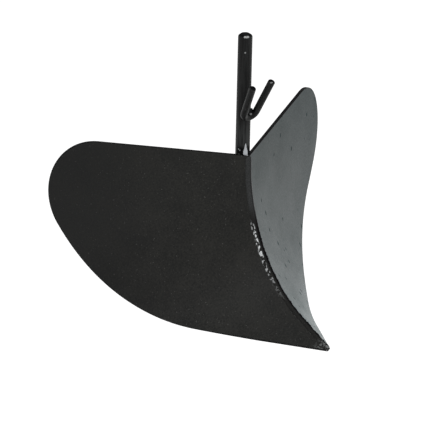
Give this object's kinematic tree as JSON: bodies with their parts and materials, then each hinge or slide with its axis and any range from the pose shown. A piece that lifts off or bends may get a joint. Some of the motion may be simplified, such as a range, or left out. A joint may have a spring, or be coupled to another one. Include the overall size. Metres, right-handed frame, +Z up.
{
  "type": "ridging plough",
  "caption": "Ridging plough body for a garden tiller: rolled steel wings meet in a V at a low point and hang from a round shank that carries a small guide fork.",
  "frame": {"origin": "centre of the shank's top face", "axes": "+Z up along the shank, -Y the way the plough travels, towards its point, +X towards its left wing"},
  "size_m": [0.375, 0.2632, 0.324],
  "materials": {
    "painted_plate": "satin",
    "painted_bar": "satin",
    "painted_weld": "satin"
  },
  "bodies": {
    "root": {"left_wing": "painted_plate", "right_wing": "painted_plate", "shank": "painted_bar", "guide_fork": "painted_bar", "seam_weld": "painted_weld", "left_shank_weld": "painted_weld", "right_shank_weld": "painted_weld", "fork_weld": "painted_weld"}
  },
  "joints": []
}
